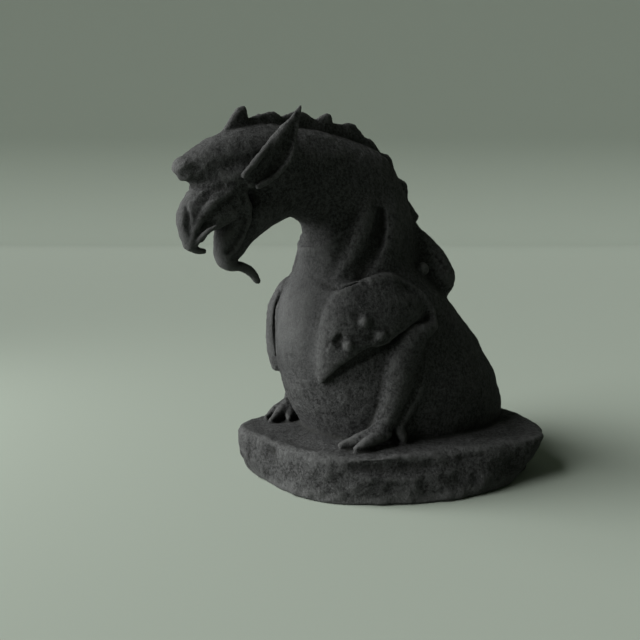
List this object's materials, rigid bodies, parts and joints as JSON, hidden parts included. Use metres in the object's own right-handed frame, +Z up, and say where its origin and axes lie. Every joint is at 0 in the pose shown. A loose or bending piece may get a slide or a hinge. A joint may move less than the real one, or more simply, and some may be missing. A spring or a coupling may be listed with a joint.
{
  "type": "stone gargoyle",
  "caption": "Seated stone gargoyle with an arched neck, hooked beak, lolling tongue, tall pointed ears and a toothed crest, carved in one with its rough oval rock base.",
  "frame": {"origin": "middle of the rock base's flat underside", "axes": "+Z up, -Y the way the beast faces, +X towards the beast's own left side"},
  "size_m": [0.3927, 0.5557, 0.5],
  "materials": {
    "dark_stone": "rough, weathered"
  },
  "bodies": {
    "root": {"gargoyle": "dark_stone"}
  },
  "joints": []
}
